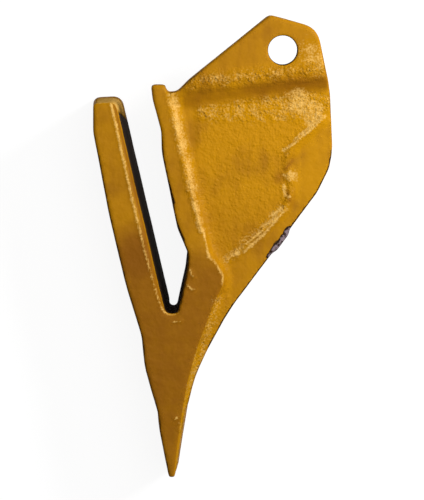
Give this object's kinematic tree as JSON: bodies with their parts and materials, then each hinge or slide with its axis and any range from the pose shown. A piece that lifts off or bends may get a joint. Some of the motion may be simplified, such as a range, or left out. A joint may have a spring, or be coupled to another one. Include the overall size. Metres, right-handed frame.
{
  "type": "corner bucket tooth",
  "caption": "Forked corner tooth for a loader bucket: wedge point, slot for the cutting edge, and a side wing with a sunken panel and a bolt ear, in yellow enamel.",
  "frame": {"origin": "middle of the underside: the tooth lies on its far side, as it comes to rest", "axes": "+Z out of the near face, +Y from the wedge point to the arms, +X from the fork to the side wing"},
  "size_m": [0.1704, 0.326, 0.076],
  "materials": {
    "casting_enamel": "golden-yellow enamel over rough cast steel, satin"
  },
  "bodies": {
    "root": {"corner_tooth": "casting_enamel"}
  },
  "joints": []
}
